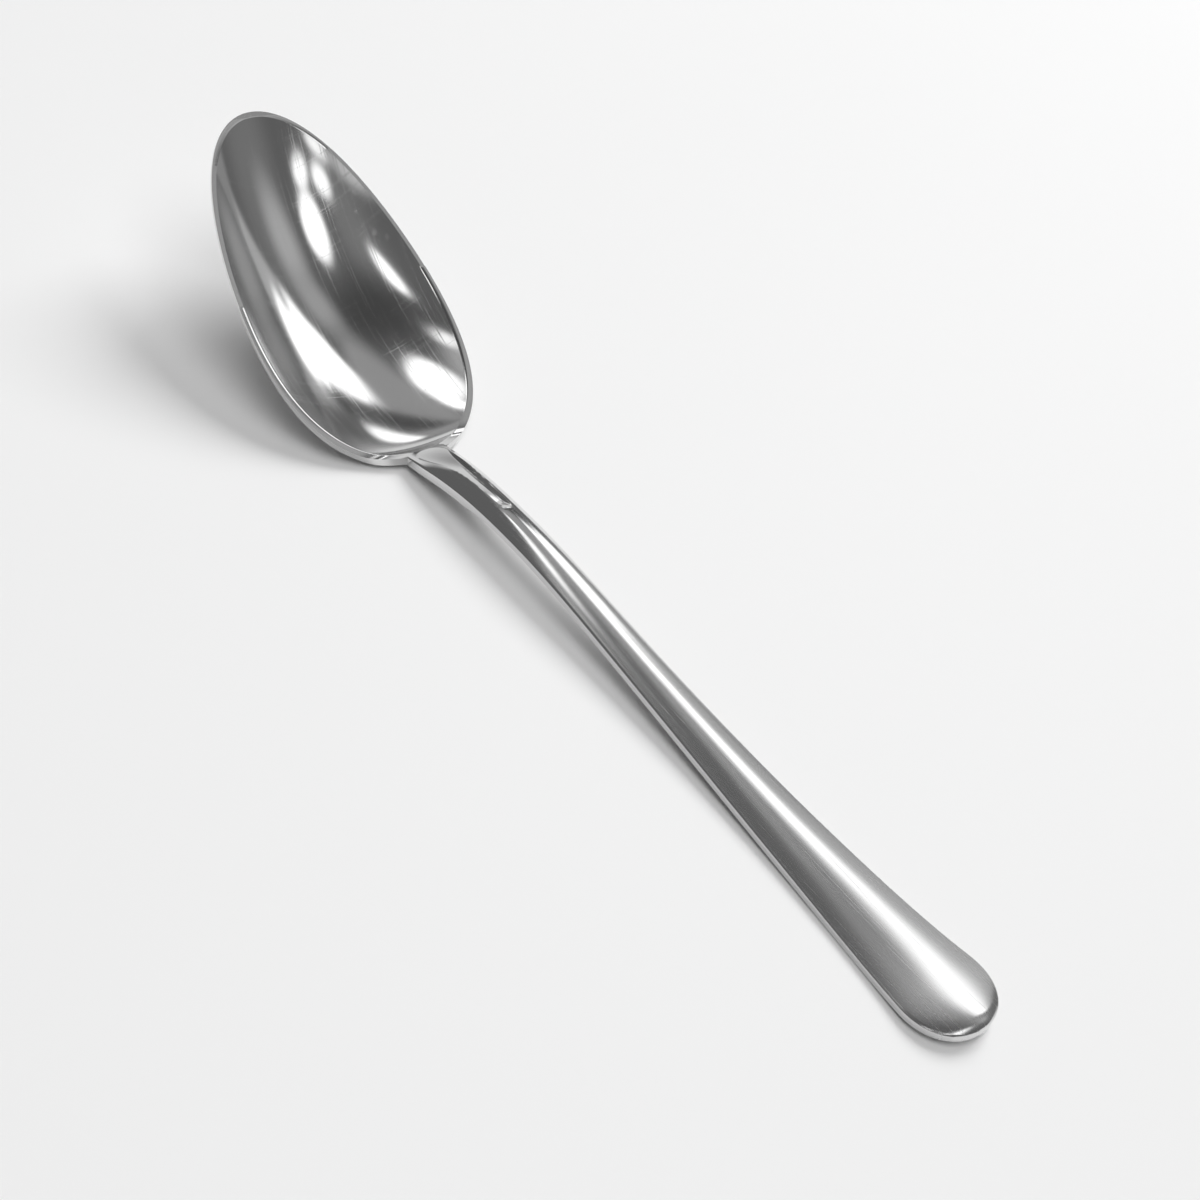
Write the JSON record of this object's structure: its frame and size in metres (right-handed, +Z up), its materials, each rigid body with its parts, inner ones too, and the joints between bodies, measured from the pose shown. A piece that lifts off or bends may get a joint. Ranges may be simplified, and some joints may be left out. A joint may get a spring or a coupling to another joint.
{
  "type": "teaspoon",
  "caption": "Plain one-piece steel teaspoon with a pointed egg-shaped bowl, a pressed tongue on the neck and a crowned handle with a rounded end.",
  "frame": {"origin": "centre of the spoon's level length, on the surface that it lies on", "axes": "+X from the bowl's toe to the handle's end, +Y across the spoon, +Z up out of the bowl"},
  "size_m": [0.1384, 0.0306, 0.0207],
  "materials": {
    "steel": "polished stainless steel: bright in the bowl and on the neck, softly brushed along the handle"
  },
  "bodies": {
    "root": {"spoon": "steel"}
  },
  "joints": []
}
